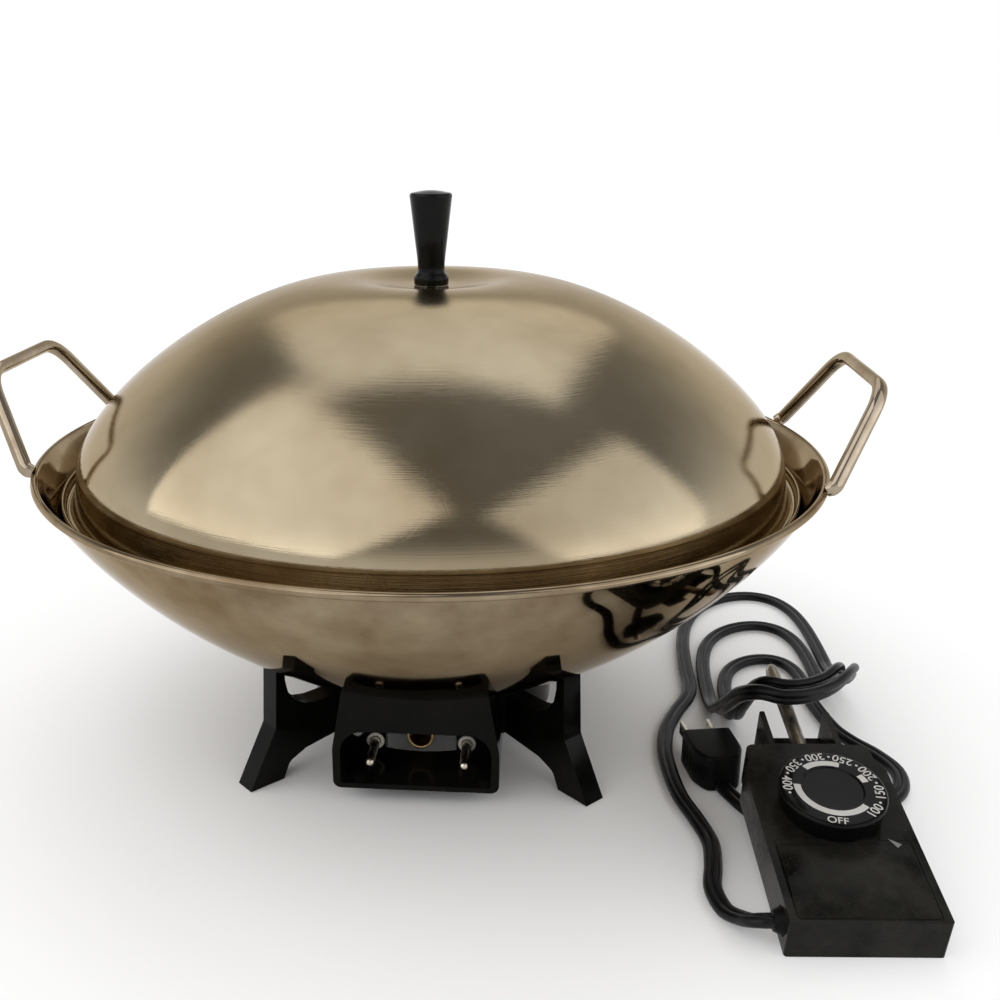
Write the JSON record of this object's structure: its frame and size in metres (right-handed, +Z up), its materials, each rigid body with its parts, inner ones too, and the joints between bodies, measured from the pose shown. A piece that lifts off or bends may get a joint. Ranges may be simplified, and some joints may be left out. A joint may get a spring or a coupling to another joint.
{
  "type": "electric wok",
  "caption": "Countertop electric wok: round steel pan with loop handles on a splayed black base, a lift-off domed lid, and a separate probe heat control on a loosely wound mains cord",
  "frame": {"origin": "on the table, under the axis of the pan, which is within a few millimetres of the middle of the footprint", "axes": "+Z up; the connector housing faces -Y; the two handles stand out along X, and the heat control lies at +X in front"},
  "size_m": [0.4128, 0.356, 0.254],
  "materials": {
    "polished_steel": "mirror polished, warm from use",
    "cast_aluminium": "as cast",
    "element_sheath": "oxidised sheath",
    "nickel": "nickel plated",
    "white_ceramic": "unglazed",
    "brass": "plain turned brass",
    "black_phenolic": "glossy black moulded phenolic",
    "zinc_plated_steel": "zinc plated",
    "probe_metal": "dull brownish oxide",
    "black_rubber": "black, moulded",
    "cord_black": "black, slightly shiny"
  },
  "bodies": {
    "wok": {"wok_pan": "polished_steel", "handle_left": "polished_steel", "handle_right": "polished_steel", "heat_plate": "cast_aluminium", "heating_element": "element_sheath", "terminal_pin_left": "nickel", "terminal_pin_right": "nickel", "pin_insulator_left": "white_ceramic", "pin_insulator_right": "white_ceramic", "probe_guide_tube": "brass", "base_stand": "black_phenolic", "base_stud": "zinc_plated_steel", "base_washer": "zinc_plated_steel", "base_nut": "zinc_plated_steel", "connector_housing": "black_phenolic", "housing_screw_left": "zinc_plated_steel", "housing_screw_right": "zinc_plated_steel"},
    "lid": {"lid_dome": "polished_steel", "lid_knob": "black_phenolic", "knob_screw": "zinc_plated_steel", "knob_washer": "polished_steel"},
    "dial": {"dial_knob": "black_phenolic", "dial_spindle": "zinc_plated_steel"},
    "control": {"control_case_top": "black_phenolic", "control_case_bottom": "black_phenolic", "case_screw_front_left": "zinc_plated_steel", "case_screw_front_right": "zinc_plated_steel", "case_screw_rear_left": "zinc_plated_steel", "case_screw_rear_right": "zinc_plated_steel", "label_plate": "black_phenolic", "probe_rod": "probe_metal", "socket_contact_right": "brass", "socket_contact_left": "brass", "spindle_bush": "brass", "thermostat_bracket": "zinc_plated_steel", "contact_blade_lower": "brass", "contact_blade_upper": "brass", "blade_spacer": "white_ceramic", "strain_relief": "black_rubber", "cord_lead": "cord_black", "cord_winding": "cord_black", "cord_tail": "cord_black", "plug_body": "black_rubber", "plug_blade_right": "nickel", "plug_blade_left": "nickel"}
  },
  "joints": [
    {"name": "lid_lift", "type": "slide", "parent": "wok", "child": "lid", "axis": [0, 0, 1], "range_m": [0, 0.12]},
    {"name": "control_lift", "type": "slide", "parent": "wok", "child": "control", "axis": [0, 0, 1], "range_m": [0, 0.05]},
    {"name": "dial_turn", "type": "hinge", "parent": "control", "child": "dial", "pos_m": [0.1666, -0.11698, 0.02783], "axis": [0.0118, -0.187, 0.9823], "range_deg": [-234, 54]}
  ]
}
